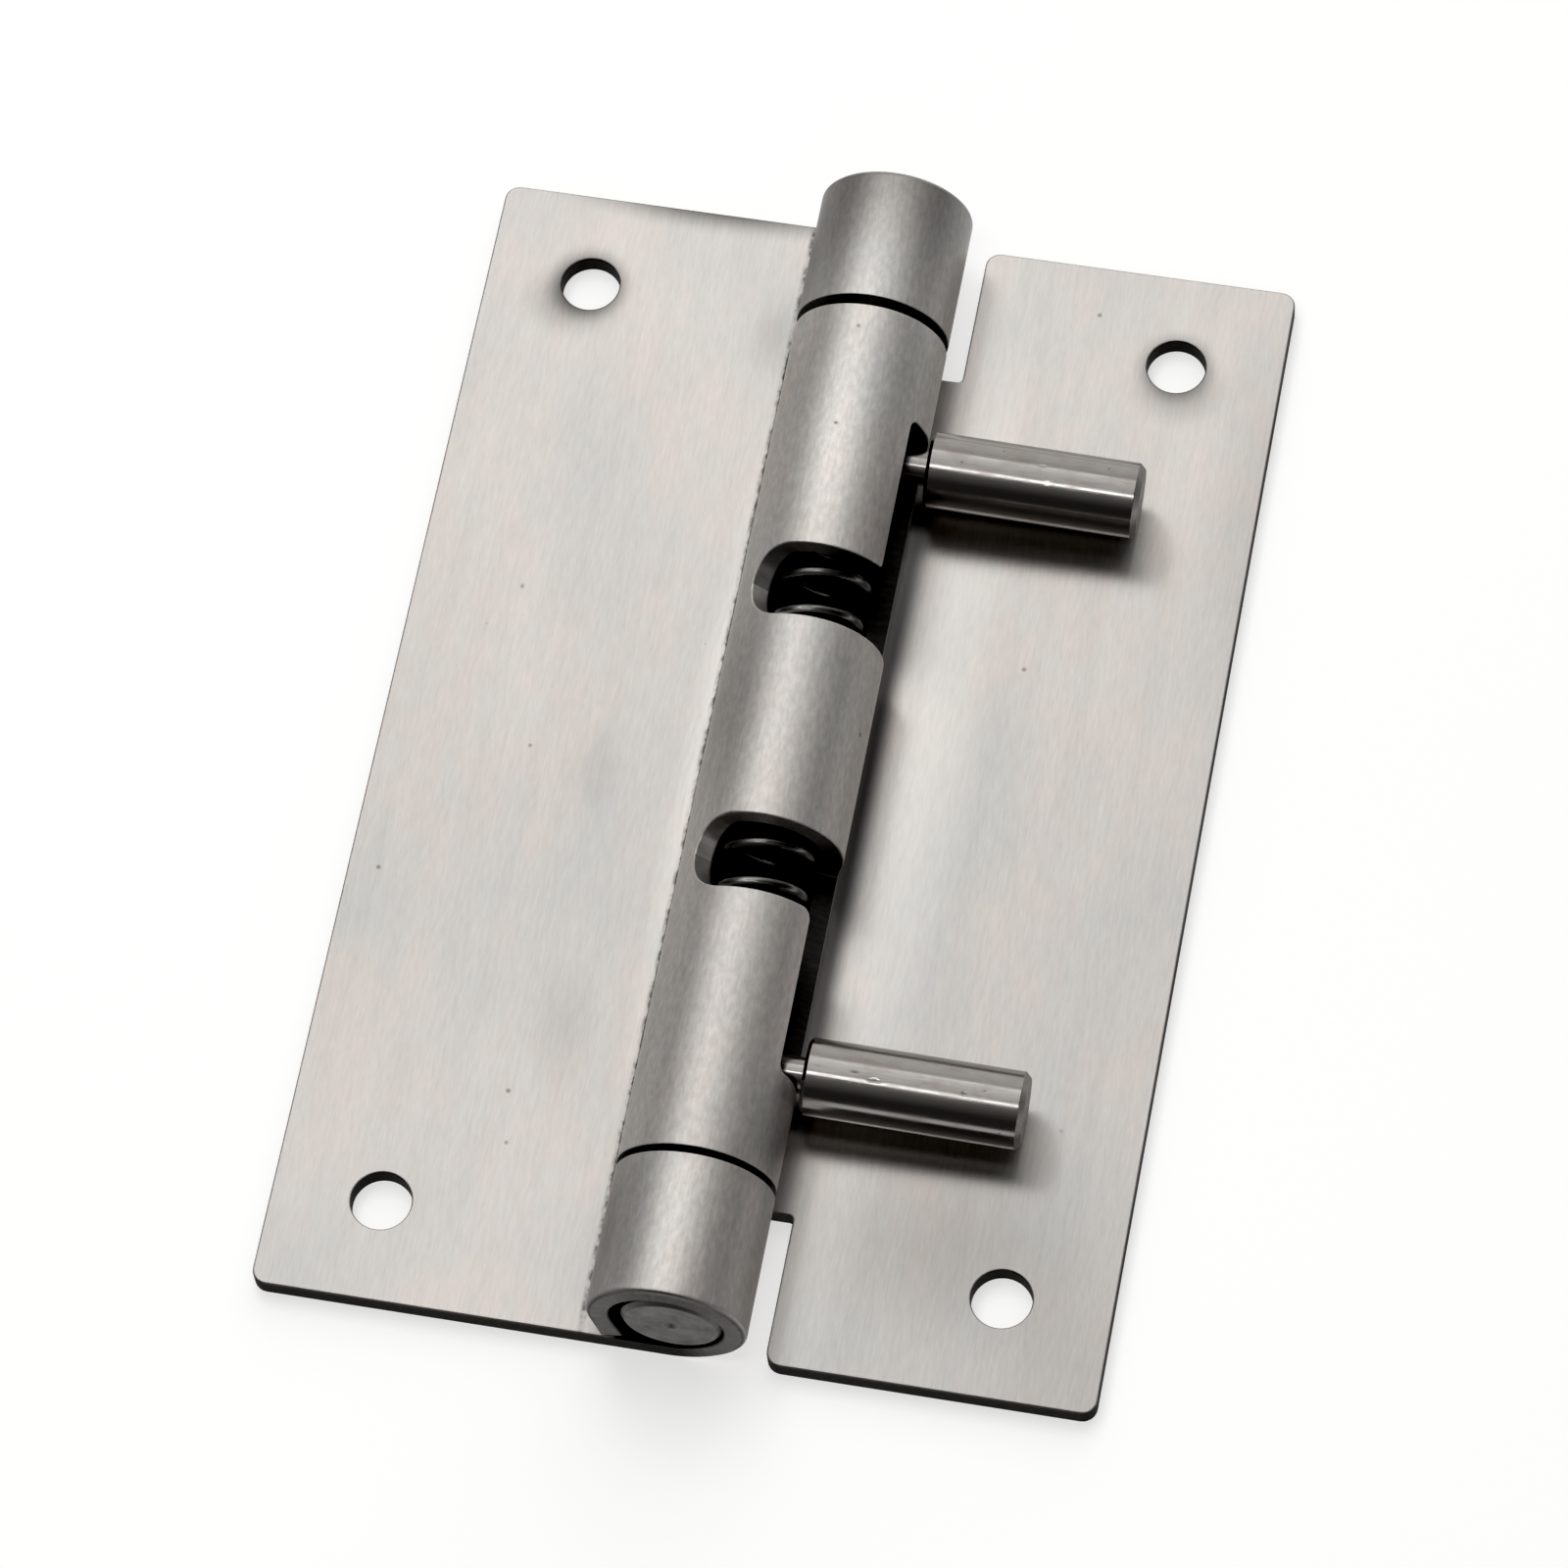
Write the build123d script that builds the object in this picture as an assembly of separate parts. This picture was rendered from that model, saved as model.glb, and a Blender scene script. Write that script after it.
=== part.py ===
from build123d import *
from math import asin, atan2, cos, degrees, hypot, radians, sin, tan
import os

# Take-apart butt hinge, lying open and flat on its back.
# Millimetres. X runs across the leaves, Y along the barrel, Z up from the back faces.
# The origin lies on the back-face plane, straight under the pin axis at mid length.

# Sheet and leaves
height = 100.0               # length of each leaf along the barrel
leaf_width = 33.25           # from the pin axis to a leaf's outer edge
sheet = 1.8                  # thickness of both leaves
corner_radius = 1.2          # corners of the leaves as seen from above

# Rolled knuckles
pin_diameter = 8.0
pin_play = 0.5               # radial play of the pins in their knuckles
end_knuckle = 11.8           # length of each end knuckle
knuckle_rim_radius = 0.4     # rounding of the end knuckles' outer rims
knuckle_play = 1.4           # end play of the centre knuckle between the end knuckles
leaf_drop = 0.15             # how far the release leaf has sunk within that play
curl_straight = 2.85         # last, unbent stretch of the sheet before its free edge
curl_gap = 0.12              # slit between the sheet's free edge and its own leaf
relief_gap = 0.7             # from the centre knuckle to the fixed leaf's cut edge
notch_gap = 1.15             # from the end knuckles to the release leaf's notched edge
notch_radius = 0.4

# Screw holes
hole_diameter = 4.8
hole_inset = 8.7             # from a leaf's outer edge to the hole's centre
hole_from_end = 8.3          # from a leaf's end to the hole's centre

# L-shaped slots in the centre knuckle
slot_width = 6.4
slot_margin = 8.5            # from the centre knuckle's end to the slot's outer end
bridge = 17.8                # knuckle left whole between the two slots
slot_centre_angle = 6.0      # middle of the straight leg, up from the release leaf's side
window_end_angle = 110.0     # centre of the turned leg's round end, same zero
slot_corner_radius = 0.7
upper_inner_radius = 0.35    # inner corner of the upper slot's L
lower_inner_radius = 1.0     # the same corner of the lower slot, worn rounder

# Pins, which the handles' weight has pulled over and down within their play
pin_shift = 0.38
pin_drop = 0.15
pin_recess = 0.06            # from the end knuckle's face in to the lower pin's face
pin_tail = 4.0               # from the handle's axis in to the spring
pin_chamfer = 0.35
pin_centre_diameter = 1.0    # lathe centre mark in the outer end face
pin_centre_depth = 0.4

# Handles
handle_diameter = 6.2
handle_length = 17.4
handle_gap = 0.4             # bare stem between barrel and handle
handle_chamfer = 0.45
handle_root_chamfer = 0.3
stem_diameter = 2.9
stem_depth = 6.2             # how far the stem is screwed into its pin
stem_gap = 0.04              # all round between the stem and its cross hole in the pin
stem_end_gap = 0.3           # from the stem's end to the bottom of that hole
handle_droop = 1.6           # degrees the handles hang below square
lower_stem_stop = 0.06       # from the lower stem to its slot's outer end
upper_stem_stop = 0.70       # from the upper stem to its slot's outer end

# Compression spring
spring_play = 0.3            # radial clearance between the coils and the bore
wire_diameter = 1.0
wire_sides = 6               # flats that stand for the wire's round section
turn_chords = 16             # straight chords that stand for each turn of the coil
spring_pitch = 3.47
spring_seat = 0.05           # from each spring end to its pin
closed_gap = 0.05            # between the touching turns at each end
coil_top_y = 0.13            # one coil passes straight above the pin axis here

# Worked out from the above
bore_radius = pin_diameter / 2 + pin_play
barrel_radius = bore_radius + sheet
axis_height = barrel_radius
half_height = height / 2
cut_half = half_height - end_knuckle
centre_half = cut_half - knuckle_play / 2
stem_radius = stem_diameter / 2
slot_reach = centre_half - slot_margin
window_near = bridge / 2
window_far = window_near + slot_width
slot_half_angle = degrees(slot_width / 2 / barrel_radius)
slot_low_angle = slot_centre_angle - slot_half_angle
slot_high_angle = slot_centre_angle + slot_half_angle
lower_stem_y = -leaf_drop - slot_reach + stem_radius + lower_stem_stop
upper_stem_y = -leaf_drop + slot_reach - stem_radius - upper_stem_stop
pin_nose = half_height + lower_stem_y - pin_recess
coil_radius = bore_radius - spring_play - wire_diameter / 2
closed_pitch = wire_diameter + closed_gap
hole_x = leaf_width - hole_inset
hole_y = half_height - hole_from_end
through = 2 * height


def polar(radius, angle):
    """Point at an angle about the pin axis, in the plane across the barrel."""
    return (radius * cos(radians(angle)), axis_height + radius * sin(radians(angle)))


def curl_lean():
    """Angle off upright of the curl's straight end, such that its edge meets its own leaf."""
    drop = barrel_radius - sheet - curl_gap
    whole = degrees(asin(drop / hypot(barrel_radius, curl_straight)))
    return whole - degrees(atan2(curl_straight, barrel_radius))


def leaf_profile():
    """Outline of the sheet's edge: flat leaf, round knuckle and the straight end of the curl.

    The leaf runs along +X, passes under the pin and is rolled round the far side and over the
    top, so that its free edge comes down beside the pin onto its own leaf.
    """
    lean = curl_lean()
    outer_turn = polar(barrel_radius, -lean)
    inner_turn = polar(bore_radius, -lean)
    fall_x = -curl_straight * sin(radians(lean))
    fall_z = -curl_straight * cos(radians(lean))
    outer_end = (outer_turn[0] + fall_x, outer_turn[1] + fall_z)
    inner_end = (inner_turn[0] + fall_x, inner_turn[1] + fall_z)
    middle = (270.0 - lean) / 2
    root = (0.0, 0.0)
    root_top = (0.0, sheet)
    return Curve() + [
        Line(root, (leaf_width, 0.0)),
        Line((leaf_width, 0.0), (leaf_width, sheet)),
        Line((leaf_width, sheet), root_top),
        ThreePointArc(root_top, polar(bore_radius, middle), inner_turn),
        Line(inner_turn, inner_end),
        Line(inner_end, outer_end),
        Line(outer_end, outer_turn),
        ThreePointArc(outer_turn, polar(barrel_radius, middle), root),
    ]


def rolled_sheet():
    """The full-length rolled sheet, before its knuckles are cut, with its leaf on +X."""
    face = make_face(Plane.XZ * leaf_profile())
    return extrude(face, amount=half_height, both=True)


def rounded_blank():
    """Tall block with the leaf's rounded outer corners, to trim the sheet's outline."""
    reach = leaf_width + 2 * barrel_radius
    plan = Pos(leaf_width - reach / 2, 0) * Rectangle(reach, height)
    corners = plan.vertices().sort_by(Axis.X)[-2:]
    plan = fillet(corners, corner_radius)
    return extrude(plan, amount=through / 2, both=True)


def screw_holes():
    """Two plain screw holes near the leaf's outer edge."""
    return [Pos(hole_x, side * hole_y) * Cylinder(hole_diameter / 2, through) for side in (-1, 1)]


def block(x_low, x_high, y_low, y_high):
    """Tall block between two X and two Y values."""
    centre = Pos((x_low + x_high) / 2, (y_low + y_high) / 2)
    return centre * Box(x_high - x_low, y_high - y_low, through)


def make_fixed_leaf():
    """Leaf on -X with the two end knuckles."""
    leaf = rolled_sheet() & rounded_blank()
    window = block(-2 * barrel_radius, barrel_radius + relief_gap, -cut_half, cut_half)
    leaf = leaf - window
    arcs = leaf.edges().filter_by(GeomType.CIRCLE).group_by(SortBy.RADIUS)[-1]
    outermost = arcs.sort_by(Axis.Y)
    leaf = fillet([outermost[0], outermost[-1]], knuckle_rim_radius)
    for hole in screw_holes():
        leaf = leaf - hole
    return mirror(leaf, Plane.YZ)


def notch(side):
    """Cutter beside an end knuckle, which also rounds the leaf's corner next to it."""
    inner = barrel_radius + notch_gap
    beside = Pos(inner - through / 2, side * (centre_half + through / 2)) * Rectangle(through, through)
    beyond = Pos(inner, side * (half_height + through / 2)) * Rectangle(leaf_width, through)
    plan = beside + beyond
    root = plan.vertices().sort_by_distance((inner, side * centre_half))[0]
    plan = fillet(root, notch_radius)
    corner = plan.vertices().sort_by_distance((inner, side * half_height))[0]
    plan = fillet(corner, corner_radius)
    return extrude(plan, amount=through / 2, both=True)


def ring_sector(low_angle, high_angle, y_one, y_other):
    """Block of a ring about the pin axis, from inside the bore to outside the barrel."""
    inner = bore_radius - sheet / 2
    outer = barrel_radius + sheet
    section = Rectangle(outer - inner, abs(y_other - y_one))
    section = Pos((inner + outer) / 2, (y_one + y_other) / 2) * section
    swept = revolve(section, Axis.Y, high_angle - low_angle)
    return Pos(0, 0, axis_height) * Rot(0, -high_angle, 0) * swept


def corner_edge(cutter, angle, y):
    """Edge of a slot's cutter that crosses the sheet at one corner of the slot."""
    across, up = polar((bore_radius + barrel_radius) / 2, angle)
    return cutter.edges().sort_by_distance((across, y, up))[0]


def round_window_end(middle_y):
    """Cutter of the turned leg's round end, punched in the flat sheet, so its walls are radial."""
    sections = []
    for distance in (bore_radius - sheet / 2, barrel_radius + sheet):
        half_across = distance * tan(radians(slot_half_angle))
        sections.append(Pos(0, 0, distance) * Ellipse(half_across, slot_width / 2))
    cutter = Rot(0, 90 - window_end_angle, 0) * loft(sections, ruled=True)
    return Pos(0, middle_y, axis_height) * cutter


def make_slot(side, inner_radius):
    """L-shaped cutter: a straight leg along the barrel and a turned leg with a round end."""
    near, far, end = [side * y for y in (window_near, window_far, slot_reach)]
    straight = ring_sector(slot_low_angle, slot_high_angle, near, end)
    turned = ring_sector(slot_low_angle, window_end_angle, near, far)
    slot = straight + turned + round_window_end((near + far) / 2)
    outer_corners = [
        corner_edge(slot, slot_low_angle, near),
        corner_edge(slot, slot_low_angle, end),
        corner_edge(slot, slot_high_angle, end),
    ]
    slot = fillet(outer_corners, slot_corner_radius)
    return fillet(corner_edge(slot, slot_high_angle, far), inner_radius)


def make_release_leaf():
    """Leaf on +X with the long centre knuckle, its slots and its notched corners."""
    leaf = rolled_sheet() & rounded_blank()
    for side, inner_radius in ((1, upper_inner_radius), (-1, lower_inner_radius)):
        leaf = leaf - notch(side)
        leaf = leaf - make_slot(side, inner_radius)
    for hole in screw_holes():
        leaf = leaf - hole
    return Pos(0, -leaf_drop, 0) * leaf


def on_pin(stem_y):
    """Place where a handle's stem crosses its pin's own axis."""
    return Pos(pin_shift, stem_y, axis_height - pin_drop)


def make_pin(side, stem_y):
    """Round pin with a chamfered nose, a centre mark and a cross hole for the stem."""
    radius = pin_diameter / 2
    length = pin_nose + pin_tail
    pin = Cylinder(radius, length, align=(Align.CENTER, Align.CENTER, Align.MIN))
    pin = Pos(0, 0, -pin_tail) * pin
    pin = chamfer(pin.edges().filter_by(GeomType.CIRCLE), pin_chamfer)
    mark = Pos(0, 0, pin_nose) * Cone(0.0, pin_centre_diameter, 2 * pin_centre_depth)
    pin = pin - mark
    pin = Rot(-90 * side, 0, 0) * pin
    hole_start = radius - stem_depth - stem_end_gap
    hole = Cylinder(stem_radius + stem_gap, pin_diameter, align=(Align.CENTER, Align.CENTER, Align.MIN))
    hole = Pos(hole_start, 0, 0) * Rot(0, 90, 0) * hole
    pin = pin - Rot(0, handle_droop, 0) * hole
    return on_pin(stem_y) * pin


def make_handle(stem_y):
    """Turned handle and its thin stem, one piece, pointing over the release leaf."""
    root = barrel_radius + handle_gap - pin_shift
    stem_start = pin_diameter / 2 - stem_depth
    radius = handle_diameter / 2
    profile = Polyline(
        (stem_start, 0),
        (stem_start, stem_radius),
        (root, stem_radius),
        (root, radius - handle_root_chamfer),
        (root + handle_root_chamfer, radius),
        (root + handle_length - handle_chamfer, radius),
        (root + handle_length, radius - handle_chamfer),
        (root + handle_length, 0),
        close=True,
    )
    handle = revolve(make_face(profile), Axis.X)
    return on_pin(stem_y) * Rot(0, handle_droop, 0) * handle


def make_spring():
    """Compression spring between the pins, with one turn closed up at each end."""
    seat = pin_tail + spring_seat + wire_diameter / 2
    low = lower_stem_y + seat
    open_turns = (upper_stem_y - seat - low - 2 * closed_pitch) / spring_pitch
    turns = open_turns + 2
    chords = round(turns * turn_chords)
    points = []
    for index in range(chords + 1):
        turn = turns * index / chords
        opened = min(max(turn - 1, 0), open_turns)
        rise = closed_pitch * turn + (spring_pitch - closed_pitch) * opened
        angle = radians(360 * turn)
        points.append((coil_radius * cos(angle), coil_radius * sin(angle), rise))
    path = Polyline(*points)
    section = Plane(path @ 0, z_dir=path % 0) * RegularPolygon(wire_diameter / 2, wire_sides)
    spring = Rot(-90, 0, 0) * sweep(section, path=path, transition=Transition.RIGHT)
    start_angle = 90 + 360 * (coil_top_y - low - closed_pitch) / spring_pitch
    return Pos(0, low, axis_height) * Rot(0, -start_angle, 0) * spring


os.makedirs("parts", exist_ok=True)
pieces = {
    "fixed_leaf": make_fixed_leaf(),
    "release_leaf": make_release_leaf(),
    "upper_pin": make_pin(1, upper_stem_y),
    "lower_pin": make_pin(-1, lower_stem_y),
    "upper_handle": make_handle(upper_stem_y),
    "lower_handle": make_handle(lower_stem_y),
    "spring": make_spring(),
}
for node, shape in pieces.items():
    export_step(shape, f"parts/{node}.step")
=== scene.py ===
"""Looks of the take-apart cabinet hinge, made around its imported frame.

Both leaves are punched flat and then rolled round the pin axis, as the real ones are. The
handles are turned from a profile, and the spring is wound along its helix. Outlines are in
millimetres while they are drawn, and every finished mesh is in metres.
"""

import logging
import math
import random
from collections.abc import Sequence
from dataclasses import dataclass, field
from enum import Enum

import bmesh
import bpy
from bpy.types import Material, Mesh, Node, NodeTree, Object
from bpy.types import NodeSocket as Socket
from mathutils import Matrix, Quaternion, Vector


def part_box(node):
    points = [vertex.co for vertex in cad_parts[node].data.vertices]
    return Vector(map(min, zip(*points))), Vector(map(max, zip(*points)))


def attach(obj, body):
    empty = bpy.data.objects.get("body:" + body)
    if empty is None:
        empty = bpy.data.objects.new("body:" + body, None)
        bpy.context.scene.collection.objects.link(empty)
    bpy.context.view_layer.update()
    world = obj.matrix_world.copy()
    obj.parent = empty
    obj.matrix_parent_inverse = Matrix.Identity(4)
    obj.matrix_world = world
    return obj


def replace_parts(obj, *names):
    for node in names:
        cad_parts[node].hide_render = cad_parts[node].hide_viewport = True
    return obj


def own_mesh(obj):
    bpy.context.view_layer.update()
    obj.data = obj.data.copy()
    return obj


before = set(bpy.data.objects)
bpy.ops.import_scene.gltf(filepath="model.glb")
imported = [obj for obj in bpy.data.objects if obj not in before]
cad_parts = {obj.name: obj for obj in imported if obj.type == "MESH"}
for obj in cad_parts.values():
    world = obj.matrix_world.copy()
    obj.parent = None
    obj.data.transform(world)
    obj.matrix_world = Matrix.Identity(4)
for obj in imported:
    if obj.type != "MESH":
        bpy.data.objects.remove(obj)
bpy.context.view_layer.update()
MM = 0.001
LOG = logging.getLogger("hinge")

MIDDLE = (0.3, 0.7)  # range that holds most of a noise's values
RELIEF_DEPTH = 0.00003  # metres, of the fine relief on every steel surface

Triple = tuple[float, float, float]
Colour = tuple[float, ...]
Value = float | Sequence[float] | Socket


class Side(Enum):
    """Which half of the hinge a leaf lies on, as the sign of its X."""

    FIXED = -1
    RELEASE = 1


class End(Enum):
    """Which end of the barrel a pin or slot belongs to, as the sign of its Y."""

    UPPER = 1
    LOWER = -1


class NodeBoard:
    """Places and joins the nodes of one shader or geometry tree."""

    def __init__(self, tree: NodeTree) -> None:
        """Start on a tree."""
        self.tree = tree

    def put(self, socket: Socket, value: Value) -> None:
        """Join another node's output to an input socket, or set the input's own value.

        Args:
            socket: The input.
            value: An output to join, or a plain value.
        """
        if isinstance(value, Socket):
            self.tree.links.new(value, socket)
        else:
            socket.default_value = value

    def add(self, kind: str, settings: dict | None = None, **inputs: Value) -> Node:
        """Add a node.

        Args:
            kind: The node's type name.
            settings: Properties of the node itself.
            **inputs: Values or sockets for inputs, by name, with _ for a space.

        Returns:
            The new node.
        """
        node = self.tree.nodes.new(kind)
        for name, value in (settings or {}).items():
            setattr(node, name, value)
        for name, value in inputs.items():
            self.put(node.inputs[name.replace("_", " ")], value)
        return node

    def math(self, operation: str, *values: Value) -> Socket:
        """Add a Math node and return its result.

        Args:
            operation: The node's operation.
            *values: Its inputs in order.

        Returns:
            The node's result.
        """
        node = self.add("ShaderNodeMath", {"operation": operation})
        for socket, value in zip(node.inputs, values):
            self.put(socket, value)
        return node.outputs[0]

    def split(self, vector: Socket) -> tuple[Socket, Socket, Socket]:
        """Separate a vector into X, Y and Z."""
        outputs = self.add("ShaderNodeSeparateXYZ", Vector=vector).outputs
        return outputs[0], outputs[1], outputs[2]

    def join(self, x: Value, y: Value, z: Value) -> Socket:
        """Combine X, Y and Z into a vector."""
        return self.add("ShaderNodeCombineXYZ", X=x, Y=y, Z=z).outputs[0]


@dataclass(frozen=True)
class Corner:
    """One corner of an outline, in millimetres, with the radius that rounds it.

    Its points share one rounding of the back face's edge and one share of bare cut metal.
    """

    x: float
    y: float
    radius: float
    steps: int = 6
    back_edge: float = 0.10
    bare: float = 1.0


@dataclass(frozen=True)
class RimPoint:
    """Point of an outline, in millimetres.

    Its normal points out of the material. It has its own share of bare cut metal and its own
    rounding of the back face's edge.
    """

    place: Vector
    normal: Vector
    bare: float = 1.0
    back_edge: float = 0.10


def rounded_path(corners: Sequence[Corner], closed: bool = True) -> list[RimPoint]:
    """Follow straight runs with an arc at each corner.

    Args:
        corners: The corners in order, with the material on the left of the way.
        closed: Whether the last corner joins the first.

    Returns:
        The outline's points.
    """
    count = len(corners)
    path: list[RimPoint] = []
    for index, corner in enumerate(corners):
        here = Vector((corner.x, corner.y))
        before = corners[index - 1]
        after = corners[(index + 1) % count]
        way_in = (here - Vector((before.x, before.y))).normalized()
        way_out = (Vector((after.x, after.y)) - here).normalized()
        if not closed and index in (0, count - 1):
            way = way_out if index == 0 else way_in
            path.append(RimPoint(here, Vector((way.y, -way.x))))
            continue
        turn = math.atan2(way_in.x * way_out.y - way_in.y * way_out.x, way_in.dot(way_out))
        bulge = math.copysign(corner.radius, turn)
        normal_in = Vector((way_in.y, -way_in.x))
        start = here - way_in * corner.radius * math.tan(abs(turn) / 2)
        centre = start - normal_in * bulge
        for step in range(corner.steps + 1):
            normal = Matrix.Rotation(turn * step / max(corner.steps, 1), 2) @ normal_in
            path.append(RimPoint(centre + normal * bulge, normal, corner.bare, corner.back_edge))
    return path


def round_hole(x: float, y: float, radius: float, steps: int = 72) -> list[RimPoint]:
    """Outline of a round hole, with the material outside it.

    Args:
        x: X of the centre, in millimetres.
        y: Y of the centre.
        radius: The hole's radius.
        steps: How many points it gets.

    Returns:
        The outline's points.
    """
    path = []
    for step in range(steps):
        angle = -math.tau * step / steps
        out = Vector((math.cos(angle), math.sin(angle)))
        path.append(RimPoint(Vector((x, y)) + out * radius, -out))
    return path


BURRS = (-0.3, 0.6, 1.2)  # shares of bare cut metal that a worn cut edge's points take


def ragged(path: Sequence[RimPoint], start: int, depth: float, step: float, seed: int) -> list[RimPoint]:
    """Give one straight run of an outline the small waves and bright burrs of a worn cut edge.

    Args:
        path: The outline.
        start: Index of the run's first point.
        depth: Largest wave into the material, in millimetres.
        step: Distance between waves, in millimetres.
        seed: Seed of the waves.

    Returns:
        The outline with the run's added points.
    """
    rng = random.Random(seed)
    first, last = path[start], path[start + 1]
    count = int((last.place - first.place).length / step)
    added = []
    for index in range(1, count):
        wave = depth * rng.random() ** 2
        place = first.place.lerp(last.place, index / count) - first.normal * wave
        added.append(RimPoint(place, first.normal, rng.choice(BURRS)))
    return list(path[: start + 1]) + added + list(path[start + 1 :])


@dataclass(frozen=True)
class RolledSection:
    """Cross-section that both leaves share: flat sheet, round knuckle and straight free edge."""

    barrel_radius: float
    sheet: float = 1.8
    curl_straight: float = 2.85
    curl_gap: float = 0.12
    strip_angle: float = 2.5

    @property
    def bend(self) -> float:
        """Angle of the round bend, in radians, such that the free edge meets its own leaf."""
        drop = self.barrel_radius - self.sheet - self.curl_gap
        whole = math.asin(drop / math.hypot(self.barrel_radius, self.curl_straight))
        return 1.5 * math.pi + whole - math.atan2(self.curl_straight, self.barrel_radius)

    @property
    def bend_length(self) -> float:
        """Length of the bend, measured on the sheet's back face."""
        return self.barrel_radius * self.bend

    @property
    def free_edge(self) -> float:
        """Length of the sheet past the pin axis, up to its free edge."""
        return self.bend_length + self.curl_straight

    def unrolled(self, angle: float) -> float:
        """X on the flat blank of an angle about the pin axis, in degrees up from the leaf."""
        return -self.barrel_radius * math.radians(270.0 - angle)

    def strip_lines(self) -> list[float]:
        """X on the flat blank of the lines where the rolled sheet's facets meet."""
        count = math.ceil(math.degrees(self.bend) / self.strip_angle)
        return [-self.bend_length * index / count for index in range(count + 1)]


@dataclass
class PunchedSheet:
    """Flat blank with softly rounded edges, closed all round."""

    thickness: float
    top_edge: float = 0.16
    rim_steps: int = 5

    def rim(self, point: RimPoint) -> list[tuple[Vector, Vector, float]]:
        """Go round the edge at one point of an outline, from the back face to the top face.

        Args:
            point: The outline's point.

        Returns:
            Place, normal and share of bare cut metal of each vertex.
        """
        rows = []
        back = (-90, point.back_edge, point.back_edge)
        top = (0, self.top_edge, self.thickness - self.top_edge)
        for start, edge, level in (back, top):
            for step in range(self.rim_steps + 1):
                angle = math.radians(start + 90 * step / self.rim_steps)
                along = math.cos(angle)
                flat = point.place - point.normal * edge * (1 - along)
                spot = Vector((flat.x, flat.y, level + edge * math.sin(angle)))
                out = Vector((point.normal.x * along, point.normal.y * along, math.sin(angle)))
                rows.append((spot, out, point.bare * along))
        return rows

    def build(self, name: str, outlines: Sequence[Sequence[RimPoint]], cuts: Sequence[float]) -> Mesh:
        """Make the blank's mesh.

        Args:
            name: The mesh's name.
            outlines: The outer outline and those of the holes.
            cuts: X of each line where the mesh is divided, so that it can be rolled.

        Returns:
            The mesh in metres, with its normals and bare cut metal as attributes.
        """
        bm = bmesh.new()
        flat_normal = bm.verts.layers.float_vector.new("flat_normal")
        cut_metal = bm.verts.layers.float.new("cut_metal")
        rims: tuple[list, list] = ([], [])
        for outline in outlines:
            columns = []
            for point in outline:
                column = []
                for spot, out, bare in self.rim(point):
                    vertex = bm.verts.new(spot)
                    vertex[flat_normal] = out
                    vertex[cut_metal] = bare
                    column.append(vertex)
                columns.append(column)
            for here, there in zip(columns, columns[1:] + columns[:1]):
                for low in range(len(here) - 1):
                    bm.faces.new((here[low], there[low], there[low + 1], here[low + 1]))
                for rim, row in zip(rims, (0, -1)):
                    rim.append(bm.edges.get((here[row], there[row])))
        for rim, up in zip(rims, (-1.0, 1.0)):
            filled = bmesh.ops.triangle_fill(bm, use_beauty=True, edges=rim)["geom"]
            for face in (item for item in filled if isinstance(item, bmesh.types.BMFace)):
                if face.normal.z * up < 0:
                    face.normal_flip()
        for x in cuts:
            everything = bm.verts[:] + bm.edges[:] + bm.faces[:]
            bmesh.ops.bisect_plane(bm, geom=everything, dist=1e-5, plane_co=(x, 0, 0), plane_no=(1, 0, 0))
        bm.transform(Matrix.Scale(MM, 4))
        mesh = bpy.data.meshes.new(name)
        bm.to_mesh(mesh)
        bm.free()
        return mesh


def new_tree(name: str, floats: Sequence[str], counts: Sequence[str] = ()) -> tuple[NodeBoard, Node, Node]:
    """Start a Geometry Nodes tree with a geometry, named sizes and a material as its inputs.

    Args:
        name: The tree's name.
        floats: Names of the inputs that are lengths, angles or shares.
        counts: Names of the inputs that are whole numbers.

    Returns:
        The board, the group's input node and its output node.
    """
    tree = bpy.data.node_groups.new(name, "GeometryNodeTree")
    inputs = [("Geometry", "Geometry"), *((label, "Float") for label in floats)]
    inputs += [*((label, "Int") for label in counts), ("Material", "Material")]
    for label, kind in inputs:
        tree.interface.new_socket(label, in_out="INPUT", socket_type=f"NodeSocket{kind}")
    tree.interface.new_socket("Geometry", in_out="OUTPUT", socket_type="NodeSocketGeometry")
    board = NodeBoard(tree)
    return board, board.add("NodeGroupInput"), board.add("NodeGroupOutput")


def end_tree(board: NodeBoard, geometry: Socket, material: Socket, output: Node) -> None:
    """Close a tree with real, smooth geometry in its material.

    Args:
        board: The tree's board.
        geometry: What the tree has made.
        material: The tree's material input.
        output: The tree's output node.
    """
    real = board.add("GeometryNodeRealizeInstances", Geometry=geometry).outputs[0]
    smooth = board.add("GeometryNodeSetShadeSmooth", Geometry=real).outputs[0]
    dressed = board.add("GeometryNodeSetMaterial", Geometry=smooth, Material=material).outputs[0]
    board.put(output.inputs[0], dressed)


def run_tree(mesh: Mesh, tree: NodeTree, values: dict[str, object]) -> Mesh:
    """Run a tree on a mesh and keep the result as a plain mesh.

    Args:
        mesh: What the tree starts from.
        tree: The Geometry Nodes tree.
        values: The tree's inputs by name.

    Returns:
        The resulting mesh, with no modifier left.
    """
    worker = bpy.data.objects.new(mesh.name, mesh)
    bpy.context.scene.collection.objects.link(worker)
    modifier = worker.modifiers.new(tree.name, "NODES")
    modifier.node_group = tree
    for item in tree.interface.items_tree:
        if item.item_type == "SOCKET" and item.in_out == "INPUT" and item.name in values:
            modifier[item.identifier] = values[item.name]
    depsgraph = bpy.context.evaluated_depsgraph_get()
    result = bpy.data.meshes.new_from_object(worker.evaluated_get(depsgraph), depsgraph=depsgraph)
    worker.modifiers.remove(modifier)
    bpy.data.objects.remove(worker)
    return result


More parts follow.
